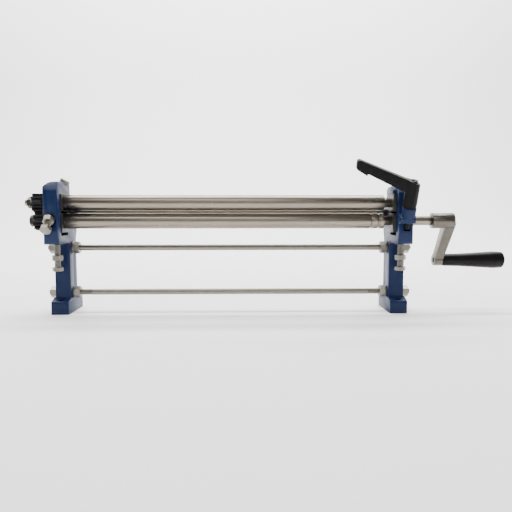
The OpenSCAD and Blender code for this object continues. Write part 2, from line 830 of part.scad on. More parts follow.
// Locking bolt in the left head, whose point bears on the top bearing's housing
module left_locking_bolt() {
    color("silver") lock_frame() {
        translate([0, 0, -lock_point + bolt_d / 2])
            cylinder(d = bolt_d, h = lock_point - bolt_d / 2 + lock_head_out);
        translate([0, 0, -lock_point]) cylinder(r1 = 0, r2 = bolt_d / 2, h = bolt_d / 2);
        translate([0, 0, lock_head_out]) hex(bolt_af, bolt_head_h);
    }
}
module left_locking_nut() {
    color("silver") lock_frame() translate([0, 0, -lock_nut_in]) nut(bolt_af, bolt_nut_h, bolt_d);
}

// Plug in the oil hole at the top rear of the left head
module plug_frame() {
    translate([-in_x - plug_in, lobe_rear - plug_ahead, head_top_z - plug_sink])
        rotate([0, plug_tilt, 0]) children();
}
module oil_plug() {
    color("gainsboro") plug_frame() {
        translate([0, 0, -plug_shank_l]) cylinder(d = plug_d, h = plug_shank_l);
        hex(plug_af, plug_head_h);
    }
}

module roll_cap() {
    ear_front = seat_y - spot_ahead;
    color("royalblue") difference() {
        union() {
            intersection() {
                along_x(in_x, out_x - face_fit) polygon(rounded([
                    [front_wall - face_fit, ledge_z + face_fit, 0],
                    [front_wall - face_fit, cap_z, 0],
                    [cap_rear, cap_z, 0],
                    [cap_rear, cap_top, cast_r],
                    [pinch_y - block_w / 2, cap_top, 2 * cast_r],
                    [skirt_front, cap_z + cast_r / 2, cast_r],
                    [skirt_front, seat_z + spot_behind * tan(screw_lean), 0],
                    [ear_front, seat_z - spot_ahead * tan(screw_lean), cast_r / 2],
                    [ear_front + nose_l, ledge_z + face_fit, cast_r / 2]]));
                linear_extrude(cap_top + over) polygon(rounded([
                    [in_x - over, ear_front - over, 0],
                    [out_x - face_fit, ear_front - over, head_round],
                    [out_x - face_fit, hinge_y, 0],
                    [in_x - over, hinge_y, 0]]));
            }
            // Lip that reaches over the block's proud face
            along_x(cap_in_x, in_x + over) polygon(rounded([
                [pinch_y - lip_ahead, cap_z, 0],
                [cap_rear, cap_z, 0],
                [cap_rear, cap_top - lip_drop, cast_r],
                [pinch_y - lip_top_ahead, cap_top - lip_drop, cast_r],
                [pinch_y - lip_ahead, cap_top - lip_front_drop, cast_r / 2]]));
            // Hinge barrel and its web
            rod_x(in_x + ear_t + ear_side_gap, out_x - ear_t - ear_side_gap, hinge_y, hinge_z, ear_r);
            box([in_x + ear_t + ear_side_gap, cap_rear - over, cap_z],
                [out_x - ear_t - ear_side_gap, hinge_y, hinge_z + ear_r]);
            // Boss that carries the screw's collar
            screw_frame() translate([0, 0, -boss_sink])
                cylinder(r = seat_boss_r, h = boss_sink + boss_up);
        }
        rod_x(in_x - over, out_x + over, hinge_y, hinge_z, hinge_d / 2 + run_fit);
        screw_frame() translate([0, 0, -stud_l])
            cylinder(d = stud_d + 2 * run_fit, h = stud_l + boss_up + over);
    }
}
module cap_hinge_pin() {
    color("#3a3a3c") union() {
        rod_x(in_x - face_fit, out_x + pin_end, hinge_y, hinge_z, hinge_d / 2);
        rod_x(in_x - face_fit - pin_head_t, in_x - face_fit, hinge_y, hinge_z, pin_head_r);
    }
}

// Screw with the lever's collar and the core that the lever turns
module clamp_screw() {
    color("#232325") screw_frame() difference() {
        union() {
            translate([0, 0, -stud_l]) cylinder(d = stud_d, h = stud_l + boss_up + over);
            translate([0, 0, boss_up + face_fit])
                cylinder(r = collar_r, h = collar_h - boss_up - face_fit);
            translate([0, 0, collar_h - over]) cylinder(r = core_r, h = core_h - collar_h + over);
        }
        translate([0, 0, button_z - button_shank_l]) cylinder(r = button_shank_r, h = core_h);
    }
}
// Height of the lever's top face at x
function lever_top(x) = lever_hub_h - x * tan(lever_rise);
module clamp_lever() {
    low = collar_h + face_fit;
    tip = -lever_reach;
    pad = tip + pad_l;
    wide = lever_hub_r + over;
    tip_low = lever_top(tip) - arm_tip_h;
    pad_low = tip_low - pad_l * tan(lever_rise) - pad_drop;
    color("#1e1e20") screw_frame() difference() {
        intersection() {
            union() {
                cylinder(r1 = lever_hub_r - hub_taper, r2 = lever_hub_r, h = lever_top(-wide));
                intersection() {
                    along_y(arm_root_w) polygon(rounded([
                        [0, lever_top(0) + over, 0],
                        [0, lever_top(0) - arm_root_h, 0],
                        [-arm_root_x, lever_top(-arm_root_x) - arm_root_h, cast_r],
                        [pad + pad_lean, pad_low + pad_drop, pad_round],
                        [pad, pad_low, pad_round],
                        [tip, tip_low, cast_r],
                        [tip, lever_top(tip) + over, 0]]));
                    linear_extrude(lever_hub_h + lever_reach) polygon(rounded([
                        [over, -arm_root_w / 2, 0], [tip, -arm_tip_w / 2, arm_tip_w / 3],
                        [tip, arm_tip_w / 2, arm_tip_w / 3], [over, arm_root_w / 2, 0]]));
                }
            }
            // One plane cuts the tops of the hub and the arm
            along_y(2 * wide) polygon(rounded([
                [tip, low, 0], [wide, low, 0],
                [wide, lever_top(wide), 0],
                [tip, lever_top(tip), cast_r]]));
        }
        translate([0, 0, low - over])
            cylinder(r = core_r + run_fit, h = core_h + face_fit - low + over);
        cylinder(r = button_shank_r + face_fit, h = lever_floor + over);
        translate([0, 0, lever_floor]) cylinder(r = button_r + face_fit, h = lever_hub_h);
    }
}
module clamp_button() {
    color("#2c2c2e") screw_frame() difference() {
        union() {
            translate([0, 0, button_z - button_shank_l])
                cylinder(r = button_shank_r, h = button_shank_l);
            translate([0, 0, button_z]) cylinder(r = button_r, h = button_h);
        }
        translate([0, 0, button_z + button_h - button_socket_h])
            cylinder(r = button_socket_r, h = button_socket_h + over, $fn = 6);
    }
}

// Frame of the crank: its origin is on the roll's axis, with Z out along the arm
module crank_frame() {
    translate([0, pinch_y, low_z]) rotate([180 + crank_turn, 0, 0]) children();
}
module crank() {
    lo = arm_w_low / 2;
    hi = arm_w_top / 2;
    color("lightgray") crank_frame() difference() {
        union() {
            translate([hub_x, 0, 0]) rotate([0, 90, 0]) cylinder(r = hub_r, h = hub_l);
            translate([arm_low_x - lo, 0, crank_throw]) rotate([0, 90, 0])
                cylinder(r = arm_boss_r, h = arm_w_low);
            intersection() {
                translate([arm_low_x - hi, 0, 0]) rotate([90, 0, 90])
                    linear_extrude(arm_w_top + arm_lean)
                    polygon([[-hi, 0], [hi, 0], [lo, crank_throw], [-lo, crank_throw]]);
                along_y(arm_w_top)
                    polygon([[arm_x - hi, 0], [arm_x + hi, 0],
                        [arm_low_x + lo, crank_throw], [arm_low_x - lo, crank_throw]]);
            }
        }
        translate([hub_x - over, 0, 0]) rotate([0, 90, 0])
            cylinder(d = journal_d, h = hub_l + 2 * over);
        translate([hub_x, 0, crank_throw]) rotate([0, 90, 0])
            cylinder(d = spindle_d, h = hub_l + arm_w_top);
        translate([hub_x + hub_l / 3, 0, 0]) cylinder(d = set_screw_d, h = hub_r + over);
    }
}
module crank_set_screw() {
    at = [hub_x + hub_l / 3, 0, journal_d / 2 - dimple];
    color("#3a3a3c") crank_frame() translate(at) difference() {
        cylinder(d = set_screw_d, h = set_screw_l);
        translate([0, 0, set_screw_l - set_socket_h])
            cylinder(r = set_socket_r, h = set_socket_h + over, $fn = 6);
    }
}
// The grip's axis along X, in the crank's frame
module grip_axis(x) {
    crank_frame() translate([x, 0, crank_throw]) rotate([0, 90, 0]) children();
}
module crank_spindle() {
    head_x = arm_low_x - arm_w_low / 2 - face_fit - spindle_head_t;
    cap_x = grip_end - recess_l;
    color("#3a3a3c") grip_axis(head_x) {
        cylinder(r = spindle_head_r, h = spindle_head_t);
        cylinder(d = spindle_d, h = cap_x - head_x);
        translate([0, 0, cap_x - head_x]) cylinder(r = spindle_cap_r, h = spindle_cap_t);
    }
}
module crank_grip() {
    color("#161616") grip_axis(grip_x) difference() {
        rotate_extrude() polygon(rounded([
            [0, 0, 0], [grip_r_in - grip_lip_in, 0, grip_end_in], [grip_r_in, grip_lip_l, grip_lip_in],
            [grip_r_in + grip_swell, grip_l / 4, grip_l / 3],
            [grip_r_out, grip_l - grip_belly_l, grip_l / 4],
            [grip_r_out - grip_end_in, grip_l - grip_end_l, grip_end_l],
            [grip_r_out - grip_face_in, grip_l, grip_end_l], [0, grip_l, 0]]));
        translate([0, 0, -over]) cylinder(d = spindle_d + 2 * run_fit, h = grip_l + 2 * over);
        translate([0, 0, grip_l - recess_l - face_fit]) cylinder(r = recess_r, h = recess_l + over);
    }
}

left_frame();
right_frame();
top_roll();
lower_roll();
rear_roll();
top_left_housing();
top_left_ball_bush();
top_right_block();
top_right_bush();
lower_left_block();
lower_right_block();
lower_left_bush();
lower_right_bush();
rear_left_block();
rear_right_block();
rear_left_bush();
rear_right_bush();
top_gear();
lower_gear();
top_gear_spacer();
lower_gear_spacer();
top_gear_key();
lower_gear_key();
top_gear_nut();
lower_gear_nut();
upper_tie_rod();
lower_tie_rod();
tie_rod_nuts();
tie_rod_washers();
left_adjusting_bolt();
right_adjusting_bolt();
left_adjusting_nut();
right_adjusting_nut();
rear_left_adjusting_bolt();
rear_right_adjusting_bolt();
rear_left_adjusting_nut();
rear_right_adjusting_nut();
left_locking_bolt();
left_locking_nut();
oil_plug();
roll_cap();
cap_hinge_pin();
clamp_screw();
clamp_lever();
clamp_button();
crank();
crank_set_screw();
crank_spindle();
crank_grip();
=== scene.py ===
"""Bench slip roll machine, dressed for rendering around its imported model.

Lengths are in metres, in the model's own frame: +X points to the crank, +Y to the rear, +Z up.
"""

import json
import logging
import math
from dataclasses import dataclass, field
from enum import Enum
from typing import Any

import bmesh
import bpy
from mathutils import Matrix, Vector

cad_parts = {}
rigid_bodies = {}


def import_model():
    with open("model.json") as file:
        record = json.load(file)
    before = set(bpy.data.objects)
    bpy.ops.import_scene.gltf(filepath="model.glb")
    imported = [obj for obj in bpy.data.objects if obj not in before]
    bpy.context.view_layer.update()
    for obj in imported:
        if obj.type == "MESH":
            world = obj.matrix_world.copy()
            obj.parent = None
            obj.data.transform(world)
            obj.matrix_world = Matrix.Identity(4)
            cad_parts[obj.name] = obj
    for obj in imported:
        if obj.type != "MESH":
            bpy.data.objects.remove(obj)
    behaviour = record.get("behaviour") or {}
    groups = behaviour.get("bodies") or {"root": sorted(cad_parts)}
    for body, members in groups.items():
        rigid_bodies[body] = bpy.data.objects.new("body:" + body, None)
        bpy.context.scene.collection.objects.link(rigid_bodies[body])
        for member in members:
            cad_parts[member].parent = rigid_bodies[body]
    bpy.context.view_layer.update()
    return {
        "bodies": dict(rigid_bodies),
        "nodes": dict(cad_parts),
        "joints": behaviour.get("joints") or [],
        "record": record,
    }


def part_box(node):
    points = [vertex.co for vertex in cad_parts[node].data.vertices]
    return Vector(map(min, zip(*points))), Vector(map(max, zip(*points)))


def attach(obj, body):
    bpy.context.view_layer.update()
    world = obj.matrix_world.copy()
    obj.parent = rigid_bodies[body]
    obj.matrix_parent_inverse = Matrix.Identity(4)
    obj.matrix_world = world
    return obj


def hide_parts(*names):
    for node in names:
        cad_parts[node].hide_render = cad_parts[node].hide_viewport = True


LOG = logging.getLogger("slip_roll")
MM = 0.001
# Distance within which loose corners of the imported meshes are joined
MERGE = 0.000002
# Least bend between two faces that stay apart, in degrees
FLAT_DEG = 0.4
# Bend at which a made piece's edge stays sharp, in degrees
SHARP_DEG = 30.0
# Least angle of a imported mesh's edge that is rounded, in degrees, and faces across a rounding
ROUND_DEG = 35.0
ROUND_STEPS = 2
# Flats of a head or nut, faces round a rod's shank and faces round a thread's core
HEX_SIDES = 6
SIDES_SHANK = 48
SIDES_CORE = 32
# How rough every noise texture is, and its middle value
NOISE_ROUGH = 0.55
NOISE_MEAN = 0.5
ALONG_X = Vector((1.0, 0.0, 0.0))
UP = Vector((0.0, 0.0, 1.0))
Triple = tuple[float, float, float]


class Slot(Enum):
    """Material slots of the part's record."""

    BLUE_PAINT = "blue_paint"
    ROLL_STEEL = "roll_steel"
    ZINC = "zinc"
    BLACK_GEAR = "black_gear"
    BLACK_NUT = "black_nut"
    BLOCK_IRON = "block_iron"
    LEVER_BLACK = "lever_black"
    DARK_STEEL = "dark_steel"
    CRANK_METAL = "crank_metal"
    GRIP_BLACK = "grip_black"


class Value:
    """A number socket of a shader tree that can be used in arithmetic."""

    def __init__(self, graph: "Graph", socket: Any) -> None:
        """Wraps a socket of the graph."""
        self.graph = graph
        self.socket = socket

    def _math(self, operation: str, left: Any, right: Any) -> "Value":
        """Adds a Math node.

        Args:
            operation: The Math node's operation.
            left: First value, a number or a Value.
            right: Second value, a number or a Value.

        Returns:
            The node's result.
        """
        made = self.graph.node("ShaderNodeMath", {"operation": operation}, {0: left, 1: right})
        return Value(self.graph, made.outputs[0])

    def __add__(self, other: Any) -> "Value":
        """Sum with a number or a Value."""
        return self._math("ADD", self, other)

    __radd__ = __add__

    def __mul__(self, other: Any) -> "Value":
        """Product with a number or a Value."""
        return self._math("MULTIPLY", self, other)

    __rmul__ = __mul__

    def __sub__(self, other: Any) -> "Value":
        """Difference from a number or a Value."""
        return self._math("SUBTRACT", self, other)

    def __rsub__(self, other: Any) -> "Value":
        """A number or a Value less this one."""
        return self._math("SUBTRACT", other, self)

    def __pow__(self, other: Any) -> "Value":
        """Power of this value."""
        return self._math("POWER", self, other)


class Graph:
    """The nodes of one shader tree."""

    def __init__(self, tree: bpy.types.NodeTree) -> None:
        """Starts from an empty tree."""
        self.tree = tree
        tree.nodes.clear()

    def node(self, kind: str, settings: dict[str, Any], sockets: dict[Any, Any]) -> bpy.types.Node:
        """Adds a node.

        Args:
            kind: The node's type.
            settings: Its properties, which are set first.
            sockets: Its inputs by name or number, each a constant, a socket or a Value.

        Returns:
            The new node.
        """
        made = self.tree.nodes.new(kind)
        for name, value in settings.items():
            setattr(made, name, value)
        for key, value in sockets.items():
            target = made.inputs[key]
            if isinstance(value, Value):
                value = value.socket
            if isinstance(value, bpy.types.NodeSocket):
                self.tree.links.new(value, target)
            else:
                target.default_value = value
        return made

    def noise(self, stretch: Triple, detail: float) -> Value:
        """Noise on the object's own coordinates.

        Args:
            stretch: Noise cells per metre along X, Y and Z.
            detail: Number of octaves.

        Returns:
            The noise, from 0 to 1.
        """
        place = self.node("ShaderNodeTexCoord", {}, {}).outputs["Object"]
        scaled = self.node("ShaderNodeMapping", {}, {"Vector": place, "Scale": stretch})
        made = self.node(
            "ShaderNodeTexNoise",
            {},
            {"Vector": scaled.outputs[0], "Scale": 1.0, "Detail": detail, "Roughness": NOISE_ROUGH},
        )
        return Value(self, made.outputs[0])

    def mix(self, share: Value, low: Triple, high: Triple) -> Any:
        """Blends two colours.

        Args:
            share: Share of the second colour.
            low: First colour.
            high: Second colour.

        Returns:
            The blended colour's socket.
        """
        # A Mix node's colours are its inputs 6 and 7 and its output 2
        made = self.node(
            "ShaderNodeMix",
            {"data_type": "RGBA", "clamp_factor": True},
            {0: share, 6: (*low, 1.0), 7: (*high, 1.0)},
        )
        return made.outputs[2]


@dataclass(frozen=True)
class Finish:
    """One surface finish: its colours, its gloss and its texture.

    Cells are noise cells per metre along X, Y and Z, and the grain's height is in metres.
    """

    slot: Slot
    color: Triple
    stain: Triple
    metallic: float
    roughness: float
    rough_spread: float = 0.08
    stain_cells: Triple = (40.0, 40.0, 40.0)
    stain_power: float = 2.0
    grain_cells: Triple = (900.0, 900.0, 900.0)
    grain_height: float = 0.00002
    grain_strength: float = 0.3
    coat: float = 0.0
    coat_roughness: float = 0.08
    specular: float = 0.5
    stain_detail: float = 4.0
    grain_detail: float = 3.0

    def material(self) -> bpy.types.Material:
        """Builds the material.

        Returns:
            The finished material, named for its slot.
        """
        made = bpy.data.materials.new(self.slot.value)
        made.use_nodes = True
        graph = Graph(made.node_tree)
        stain = graph.noise(self.stain_cells, self.stain_detail)
        grain = graph.noise(self.grain_cells, self.grain_detail)
        bump = graph.node(
            "ShaderNodeBump",
            {},
            {"Height": grain, "Distance": self.grain_height, "Strength": self.grain_strength},
        )
        shader = graph.node(
            "ShaderNodeBsdfPrincipled",
            {},
            {
                "Base Color": graph.mix(stain**self.stain_power, self.color, self.stain),
                "Metallic": self.metallic,
                "Roughness": self.roughness + (stain - NOISE_MEAN) * self.rough_spread,
                "Coat Weight": self.coat,
                "Coat Roughness": self.coat_roughness,
                "Specular IOR Level": self.specular,
                "Normal": bump.outputs[0],
            },
        )
        graph.node("ShaderNodeOutputMaterial", {}, {"Surface": shader.outputs[0]})
        return made


FINISHES = (
    Finish(
        Slot.BLUE_PAINT, color=(0.003, 0.0145, 0.062), stain=(0.002, 0.0095, 0.042),
        metallic=0.0, roughness=0.42,
        grain_cells=(260.0, 260.0, 260.0), grain_height=0.00035, grain_strength=0.35,
        coat=0.05, coat_roughness=0.15, specular=0.2,
    ),
    Finish(
        Slot.ROLL_STEEL, color=(0.288, 0.253, 0.207), stain=(0.16, 0.131, 0.092),
        metallic=1.0, roughness=0.29,
        rough_spread=0.12, stain_cells=(9.0, 60.0, 60.0), stain_power=3.0,
        grain_cells=(2600.0, 30.0, 30.0), grain_height=0.000003, grain_strength=0.2,
    ),
    Finish(
        Slot.ZINC, color=(0.246, 0.230, 0.197), stain=(0.174, 0.157, 0.125),
        metallic=1.0, roughness=0.32,
        rough_spread=0.06, stain_cells=(90.0, 90.0, 90.0), stain_power=3.0,
        grain_cells=(1800.0, 1800.0, 1800.0), grain_strength=0.2,
    ),
    Finish(
        Slot.BLACK_GEAR, color=(0.005, 0.0045, 0.005), stain=(0.012, 0.010, 0.009),
        metallic=0.0, roughness=0.42,
        rough_spread=0.2, stain_cells=(220.0, 220.0, 220.0), grain_height=0.00004,
        specular=0.3,
    ),
    Finish(
        Slot.BLACK_NUT, color=(0.030, 0.027, 0.019), stain=(0.06, 0.052, 0.035),
        metallic=0.6, roughness=0.38,
        rough_spread=0.2, stain_cells=(200.0, 200.0, 200.0),
    ),
    Finish(
        Slot.BLOCK_IRON, color=(0.007, 0.007, 0.0075), stain=(0.016, 0.015, 0.013),
        metallic=0.2, roughness=0.45,
        rough_spread=0.15, stain_cells=(120.0, 120.0, 120.0),
        grain_cells=(60.0, 60.0, 1500.0),
    ),
    Finish(
        Slot.LEVER_BLACK, color=(0.0035, 0.0033, 0.0035), stain=(0.006, 0.0055, 0.0055),
        metallic=0.0, roughness=0.42,
        grain_cells=(1300.0, 1300.0, 1300.0), grain_height=0.00006, grain_strength=0.45,
        specular=0.1,
    ),
    Finish(
        Slot.DARK_STEEL, color=(0.045, 0.043, 0.04), stain=(0.09, 0.083, 0.07),
        metallic=0.8, roughness=0.35,
        rough_spread=0.15, stain_cells=(150.0, 150.0, 150.0),
    ),
    Finish(
        Slot.CRANK_METAL, color=(0.145, 0.133, 0.115), stain=(0.085, 0.074, 0.058),
        metallic=1.0, roughness=0.30,
        rough_spread=0.2, stain_cells=(70.0, 70.0, 70.0),
        grain_cells=(900.0, 900.0, 60.0), grain_height=0.00003,
    ),
    Finish(
        Slot.GRIP_BLACK, color=(0.004, 0.003, 0.003), stain=(0.006, 0.005, 0.005),
        metallic=0.0, roughness=0.32,
        rough_spread=0.1, grain_cells=(500.0, 500.0, 500.0), specular=0.14,
    ),
)


class Shop:
    """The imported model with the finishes, and the ways of making pieces from them."""

    def __init__(self, frame: dict[str, Any]) -> None:
        """Reads the model's nodes, bodies and joints, and builds every finish."""
        self.nodes = frame["nodes"]
        self.joints = {joint["name"]: joint for joint in frame["joints"]}
        self.body = {
            node: body
            for body, members in frame["record"]["behaviour"]["bodies"].items()
            for node in members
        }
        self.materials = {finish.slot: finish.material() for finish in FINISHES}

    def centre(self, node: str) -> Vector:
        """Centre of a node's box."""
        low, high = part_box(node)
        return (low + high) / 2

    def span(self, node: str, origin: Vector, axis: Vector) -> tuple[float, float]:
        """Extent of a node along an axis.

        Args:
            node: The node's name.
            origin: A point on the axis.
            axis: The axis' unit direction.

        Returns:
            The lowest and highest distance from the origin.
        """
        reach = [(vertex.co - origin).dot(axis) for vertex in self.nodes[node].data.vertices]
        return min(reach), max(reach)

    def finish_piece(self, piece: bpy.types.Object, slot: Slot, *nodes: str) -> bpy.types.Object:
        """Gives a piece its material and body, and hides the nodes that it stands for.

        Args:
            piece: The piece, with its place in its mesh.
            slot: Its finish.
            nodes: The nodes that it replaces. It rides on the first one's body.

        Returns:
            The same piece.
        """
        piece.data.materials.clear()
        piece.data.materials.append(self.materials[slot])
        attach(piece, self.body[nodes[0]])
        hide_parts(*nodes)
        LOG.info("%s: %d faces", piece.name, len(piece.data.polygons))
        return piece

    def rounded_copy(
        self, node: str, slot: Slot, width: float, angle: float = ROUND_DEG
    ) -> bpy.types.Object:
        """Makes a copy of a node with its sharp edges rounded, in the node's place.

        Args:
            node: The node's name.
            slot: Its finish.
            width: Width of the rounding.
            angle: Least angle of an edge that is rounded, in degrees.

        Returns:
            The finished piece.
        """
        mesh = bpy.data.meshes.new(f"{node}_body")
        work = bmesh.new()
        work.from_mesh(self.nodes[node].data)
        bmesh.ops.remove_doubles(work, verts=work.verts, dist=MERGE)
        bmesh.ops.dissolve_limit(
            work, angle_limit=math.radians(FLAT_DEG), verts=work.verts, edges=work.edges
        )
        work.to_mesh(mesh)
        work.free()
        piece = linked(f"{node}_body", mesh)
        mesh.shade_smooth()
        bevel = piece.modifiers.new("rounding", "BEVEL")
        bevel.width = width
        bevel.segments = ROUND_STEPS
        bevel.limit_method = "ANGLE"
        bevel.angle_limit = math.radians(angle)
        piece = settled(piece)
        piece.data.set_sharp_from_angle(angle=math.radians(angle))
        return self.finish_piece(piece, slot, node)


def linked(name: str, mesh: bpy.types.Mesh) -> bpy.types.Object:
    """Puts a mesh in the scene as an object at the origin."""
    made = bpy.data.objects.new(name, mesh)
    bpy.context.scene.collection.objects.link(made)
    return made


def settled(piece: bpy.types.Object) -> bpy.types.Object:
    """Replaces an object by a plain mesh of what its modifiers make.

    Args:
        piece: An object at the origin, with modifiers.

    Returns:
        The same object, with the result as its mesh and no modifiers.
    """
    bpy.context.view_layer.update()
    ready = piece.evaluated_get(bpy.context.evaluated_depsgraph_get())
    mesh = bpy.data.meshes.new_from_object(ready)
    piece.modifiers.clear()
    old, piece.data = piece.data, mesh
    bpy.data.meshes.remove(old)
    return piece


def joined(name: str, parts: list[bpy.types.Object], place: Matrix) -> bpy.types.Object:
    """Joins meshes into one and moves it into place.

    Args:
        name: The new piece's name.
        parts: Objects at the origin, which are used up.
        place: Where the joined mesh goes.

    Returns:
        The joined piece, at the origin.
    """
    work = bmesh.new()
    for part in parts:
        work.from_mesh(part.data)
        old = part.data
        bpy.data.objects.remove(part)
        bpy.data.meshes.remove(old)
    bmesh.ops.transform(work, matrix=place, verts=work.verts)
    mesh = bpy.data.meshes.new(name)
    work.to_mesh(mesh)
    work.free()
    mesh.shade_smooth()
    mesh.set_sharp_from_angle(angle=math.radians(SHARP_DEG))
    return linked(name, mesh)


def solid_boxes(mesh: bpy.types.Mesh) -> list[tuple[Vector, Vector]]:
    """Boxes of a mesh's separate solids.

    Args:
        mesh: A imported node's mesh.

    Returns:
        The lowest and highest corner of each solid.
    """
    work = bmesh.new()
    work.from_mesh(mesh)
    bmesh.ops.remove_doubles(work, verts=work.verts, dist=MERGE)
    left = set(work.verts)
    boxes = []
    while left:
        reached = [left.pop()]
        for vertex in reached:
            near = {edge.other_vert(vertex) for edge in vertex.link_edges} & left
            left -= near
            reached.extend(near)
        low = Vector(min(v.co[i] for v in reached) for i in range(3))
        high = Vector(max(v.co[i] for v in reached) for i in range(3))
        boxes.append((low, high))
    work.free()
    return sorted(boxes, key=lambda box: tuple(box[0]))


def aimed(origin: Vector, axis: Vector) -> Matrix:
    """A place whose Z points along an axis.

    Args:
        origin: The place's origin.
        axis: Direction of its Z.

    Returns:
        The place as a matrix.
    """
    turn = UP.rotation_difference(axis).to_matrix().to_4x4()
    return Matrix.Translation(origin) @ turn


def ringed(name: str, rings: list[list[Triple]], closed: bool) -> bpy.types.Object:
    """Makes a skin through rings of points.

    Args:
        name: The object's name.
        rings: Rings with equal numbers of points, counter-clockwise seen against their travel.
        closed: Whether the last ring joins the first. Otherwise both ends are capped.

    Returns:
        The object, at the origin.
    """
    count = len(rings[0])
    points = [point for ring in rings for point in ring]
    last = len(rings) if closed else len(rings) - 1
    faces = []
    for row in range(last):
        low = row * count
        high = (row + 1) % len(rings) * count
        faces += [
            (low + i, low + (i + 1) % count, high + (i + 1) % count, high + i) for i in range(count)
        ]
    if not closed:
        faces.append(tuple(reversed(range(count))))
        faces.append(tuple(range(len(points) - count, len(points))))
    mesh = bpy.data.meshes.new(name)
    mesh.from_pydata(points, [], faces)
    return linked(name, mesh)


def turned(name: str, rows: list[tuple[float, float]], closed: bool, sides: int) -> bpy.types.Object:
    """Turns a profile round Z.

    Args:
        name: The object's name.
        rows: Height and radius of each ring.
        closed: Whether the profile is a closed loop, as on a washer.
        sides: Number of faces round it.

    Returns:
        The object, at the origin.
    """
    angles = [math.tau * i / sides for i in range(sides)]
    rings = [[(r * math.cos(a), r * math.sin(a), z) for a in angles] for z, r in rows]
    return ringed(name, rings, closed)


@dataclass(frozen=True)
class HexForm:
    """A hexagon head or nut with turned corners.

    Each flat has a number of steps. The end faces' radius is a share of half the flats, and the
    bore's lead-in is a share of the bore's radius.
    """

    flats: float
    height: float
    bore_r: float = 0.0
    steps: int = 10
    corner_slope: float = 0.55
    face_share: float = 0.95
    lead_share: float = 1.08

    def build(self, name: str) -> bpy.types.Object:
        """Makes the form standing on z = 0.

        Args:
            name: The object's name.

        Returns:
            The object, at the origin.
        """
        half = self.flats / 2
        sixth = math.tau / HEX_SIDES
        face_r = half * self.face_share
        angles = [
            sixth * (side + i / self.steps) for side in range(HEX_SIDES) for i in range(self.steps)
        ]
        radii = [half / math.cos((a % sixth) - sixth / 2) for a in angles]

        def ring(radius: float, z: float) -> list[Triple]:
            """A round ring."""
            return [(radius * math.cos(a), radius * math.sin(a), z) for a in angles]

        def edge(low: bool) -> list[Triple]:
            """The curved edge where the turned corner meets the flats."""
            drops = [(r - face_r) * self.corner_slope for r in radii]
            levels = [d if low else self.height - d for d in drops]
            return [(r * math.cos(a), r * math.sin(a), z) for r, a, z in zip(radii, angles, levels)]

        rings = [ring(face_r, 0.0), edge(True), edge(False), ring(face_r, self.height)]
        if self.bore_r == 0.0:
            return ringed(name, rings, False)
        lead = self.bore_r * self.lead_share
        rings = [
            ring(lead, 0.0),
            *rings,
            ring(lead, self.height),
            ring(self.bore_r, self.height - lead + self.bore_r),
            ring(self.bore_r, lead - self.bore_r),
        ]
        return ringed(name, rings, True)


@dataclass(frozen=True)
class Thread:
    """Sizes of a screw thread. The shares are parts of its pitch."""

    diameter: float
    pitch: float
    ridge_share: float = 0.36
    core_share: float = 0.55

    @property
    def ridge(self) -> float:
        """Radius of the ridge."""
        return self.pitch * self.ridge_share

    @property
    def core_r(self) -> float:
        """Radius of the core that the ridge winds round."""
        return self.diameter / 2 - self.pitch * self.core_share


M12 = Thread(12 * MM, 1.75 * MM)
M10 = Thread(10 * MM, 1.5 * MM)


class ThreadTree:
    """A node tree that winds a thread ridge up Z."""

    # Points of the path in each turn, and faces round the ridge
    turn_steps: int = 20
    ridge_sides: int = 6

    def __init__(self) -> None:
        """Builds the tree with named inputs for the ridge's sizes."""
        tree = bpy.data.node_groups.new("thread_ridge", "GeometryNodeTree")
        face = tree.interface
        for size in ("Length", "Turns", "Radius", "Ridge"):
            face.new_socket(size, in_out="INPUT", socket_type="NodeSocketFloat")
        face.new_socket("Finish", in_out="INPUT", socket_type="NodeSocketMaterial")
        face.new_socket("Geometry", in_out="OUTPUT", socket_type="NodeSocketGeometry")
        graph = Graph(tree)
        given = graph.node("NodeGroupInput", {}, {}).outputs
        path = graph.node(
            "GeometryNodeCurveSpiral",
            {},
            {
                "Resolution": self.turn_steps,
                "Rotations": given["Turns"],
                "Start Radius": given["Radius"],
                "End Radius": given["Radius"],
                "Height": given["Length"],
            },
        )
        outline = graph.node(
            "GeometryNodeCurvePrimitiveCircle",
            {},
            {"Resolution": self.ridge_sides, "Radius": given["Ridge"]},
        )
        skin = graph.node(
            "GeometryNodeCurveToMesh",
            {},
            {"Curve": path.outputs[0], "Profile Curve": outline.outputs[0], "Fill Caps": True},
        )
        plain = graph.node("GeometryNodeRealizeInstances", {}, {"Geometry": skin.outputs[0]})
        dressed = graph.node(
            "GeometryNodeSetMaterial", {}, {"Geometry": plain.outputs[0], "Material": given["Finish"]}
        )
        graph.node("NodeGroupOutput", {}, {"Geometry": dressed.outputs[0]})
        self.tree = tree

    def wind(
        self, name: str, thread: Thread, low: float, high: float, material: Any
    ) -> bpy.types.Object:
        """Winds one ridge along Z.

        Args:
            name: The object's name.
            thread: The thread's sizes.
            low: Height at which it starts.
            high: Height at which it ends.
            material: Its material.

        Returns:
            The ridge as a plain mesh, at the origin.
        """
        piece = linked(name, bpy.data.meshes.new(name))
        modifier = piece.modifiers.new("thread", "NODES")
        modifier.node_group = self.tree
        length = high - low
        values = {
            "Length": length,
            "Turns": length / thread.pitch,
            "Radius": thread.diameter / 2 - thread.ridge,
            "Ridge": thread.ridge,
            "Finish": material,
        }
        for item in self.tree.interface.items_tree:
            if item.name in values:
                modifier[item.identifier] = values[item.name]
        piece = settled(piece)
        piece.data.transform(Matrix.Translation((0.0, 0.0, low)))
        return piece


